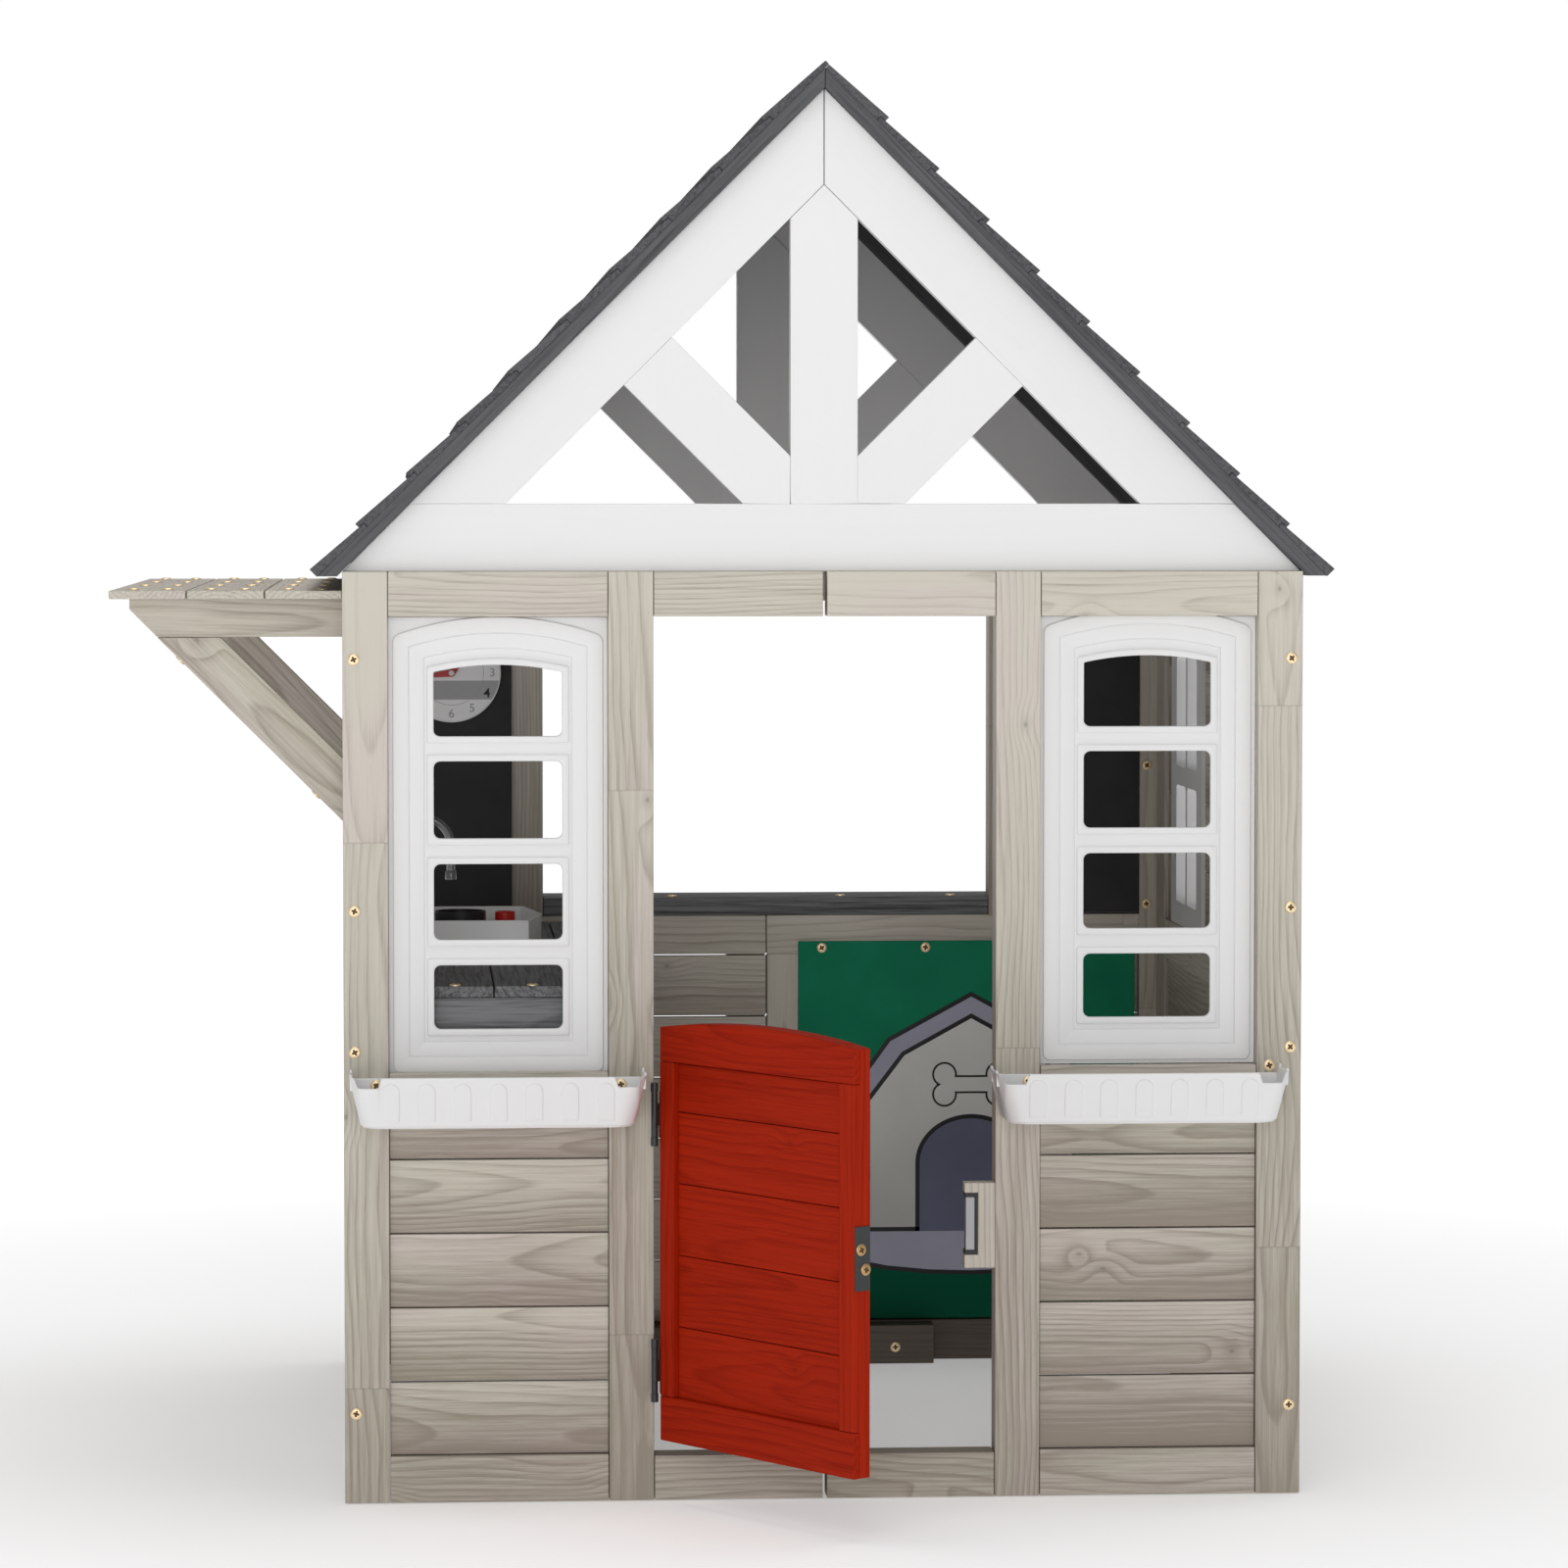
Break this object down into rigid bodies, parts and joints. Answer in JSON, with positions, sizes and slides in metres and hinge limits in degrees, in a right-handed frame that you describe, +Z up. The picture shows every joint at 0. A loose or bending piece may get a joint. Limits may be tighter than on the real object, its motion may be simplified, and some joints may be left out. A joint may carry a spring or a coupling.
{
  "type": "wooden playhouse",
  "caption": "Small wooden cottage playhouse with a gabled shingle roof, side awning, half door, open windows, planters, a play counter with sink and faucet, chalkboards and a clock.",
  "frame": {"origin": "bottom centre of the bounding box, on the ground, with the half door standing open", "axes": "+Z up, +Y from the door into the house, +X to the right when facing the door"},
  "size_m": [1.2558, 1.3042, 1.4752],
  "materials": {
    "frame_wood": "weathered greige stain, visible grain and knots",
    "trim_paint": "semi-matte white paint on wood",
    "roof_wood": "dark grey stain",
    "counter_wood": "charcoal stain",
    "door_wood": "red-orange stain, visible grain",
    "white_plastic": "satin moulded",
    "chalkboard": "matt black",
    "picture_green": "matt, printed",
    "brass_screw": "yellow zinc",
    "black_steel": "satin black",
    "black_plastic": "satin",
    "magnet": "dull grey",
    "grey_plastic": "satin",
    "clock_white": "satin",
    "red_plastic": "satin"
  },
  "bodies": {
    "house": {"awning_arms": "frame_wood", "awning_braces": "frame_wood", "awning_screws": "brass_screw", "awning_slats": "frame_wood", "back_wall_posts": "frame_wood", "back_wall_rails": "frame_wood", "back_wall_siding": "frame_wood", "catch_block": "frame_wood", "catch_magnet": "magnet", "chalkboards": "chalkboard", "clock_dial": "clock_white", "clock_pin": "clock_white", "counter_cleats": "counter_wood", "counter_slats": "counter_wood", "faucet_base": "grey_plastic", "fitting_screws": "brass_screw", "front_left_planter": "white_plastic", "front_left_posts": "frame_wood", "front_left_rails": "frame_wood", "front_left_siding": "frame_wood", "front_left_window": "white_plastic", "front_right_planter": "white_plastic", "front_right_posts": "frame_wood", "front_right_rails": "frame_wood", "front_right_siding": "frame_wood", "front_right_window": "white_plastic", "gable_back_chord": "trim_paint", "gable_back_rafters": "trim_paint", "gable_back_webs": "trim_paint", "gable_front_chord": "trim_paint", "gable_front_rafters": "trim_paint", "gable_front_webs": "trim_paint", "hinge_pins": "black_steel", "jamb_hinge_leaves": "black_steel", "left_wall_posts": "frame_wood", "left_wall_rails": "frame_wood", "left_wall_siding": "frame_wood", "magnet_catch_case": "black_plastic", "picture_panel": "picture_green", "play_cup": "red_plastic", "play_pan": "black_plastic", "right_wall_posts": "frame_wood", "right_wall_rails": "frame_wood", "right_wall_siding": "frame_wood", "right_wall_window": "white_plastic", "roof_battens": "roof_wood", "roof_left_shingles": "roof_wood", "roof_right_shingles": "roof_wood", "serving_shelf": "counter_wood", "sink_basin": "white_plastic", "wall_screws": "brass_screw"},
    "door": {"door_stiles": "door_wood", "door_rails": "door_wood", "door_boards": "door_wood", "door_strike_plate": "black_steel", "door_screws": "brass_screw", "door_hinge_leaves": "black_steel"},
    "faucet": {"faucet_spout": "grey_plastic"},
    "hour_hand": {"clock_hour_hand": "red_plastic"},
    "minute_hand": {"clock_minute_hand": "red_plastic"}
  },
  "joints": [
    {"name": "door_swing", "type": "hinge", "parent": "house", "child": "door", "pos_m": [-0.07354, -0.39581, 0.267], "axis": [0, 0, 1], "range_deg": [-40, 55]},
    {"name": "faucet_swivel", "type": "hinge", "parent": "house", "child": "faucet", "pos_m": [-0.33644, 0.06109, 0.54], "axis": [0, 0, 1], "range_deg": [-100, 100]},
    {"name": "hour_hand_turn", "type": "hinge", "parent": "house", "child": "hour_hand", "pos_m": [-0.27194, 0.55209, 0.824], "axis": [0, -1, 0], "continuous": true},
    {"name": "minute_hand_turn", "type": "hinge", "parent": "house", "child": "minute_hand", "pos_m": [-0.27194, 0.55009, 0.824], "axis": [0, -1, 0], "continuous": true}
  ]
}
